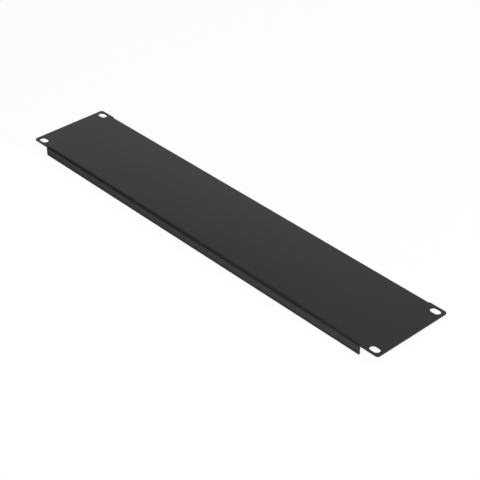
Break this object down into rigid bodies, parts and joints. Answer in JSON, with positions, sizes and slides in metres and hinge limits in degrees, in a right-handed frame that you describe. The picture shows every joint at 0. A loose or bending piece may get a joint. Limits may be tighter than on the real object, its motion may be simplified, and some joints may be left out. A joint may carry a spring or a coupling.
{
  "type": "rack blanking panel",
  "caption": "Sheet-steel panel with folded long edges and flat ears with a slot at each corner, for covering an empty space in an equipment rack.",
  "frame": {"origin": "centre of the panel, on the plane of the flanges' free edges, where it stands when it lies face up", "axes": "+X along the panel's length, +Y across its height, +Z out of its front face"},
  "size_m": [0.4826, 0.0882, 0.0103],
  "materials": {
    "powder_coat": "satin black powder coat with a fine even texture on folded sheet steel"
  },
  "bodies": {
    "root": {"blanking_panel": "powder_coat"}
  },
  "joints": []
}
